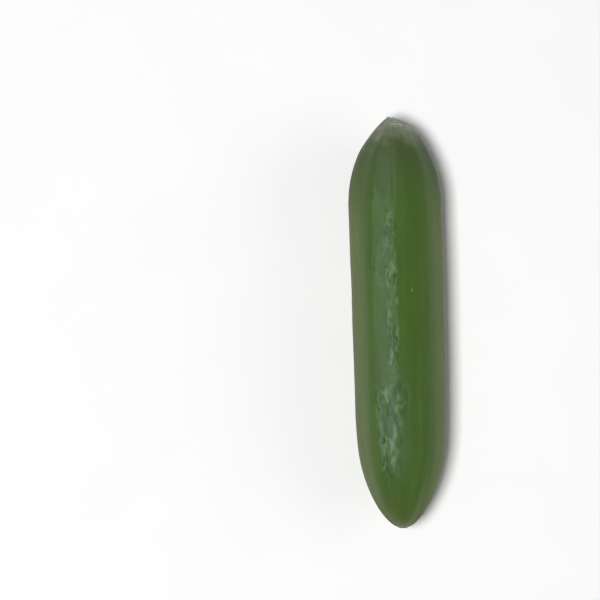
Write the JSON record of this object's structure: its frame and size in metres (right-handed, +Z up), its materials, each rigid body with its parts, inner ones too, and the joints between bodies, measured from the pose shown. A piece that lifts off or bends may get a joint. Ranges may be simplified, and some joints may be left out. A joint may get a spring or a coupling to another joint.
{
  "type": "cucumber",
  "caption": "Small smooth-skinned cucumber, whole, lying on its belly: blunt stem end with a scar, more pointed blossom end, faint lengthwise ridges.",
  "frame": {"origin": "on the surface that the cucumber lies on, under the middle of its length and width", "axes": "+Y along the cucumber towards its stem end, +X across it, +Z up"},
  "size_m": [0.0374, 0.1644, 0.0373],
  "materials": {
    "cucumber_skin": "dark green skin with a thin natural wax, satin"
  },
  "bodies": {
    "root": {"cucumber": "cucumber_skin"}
  },
  "joints": []
}
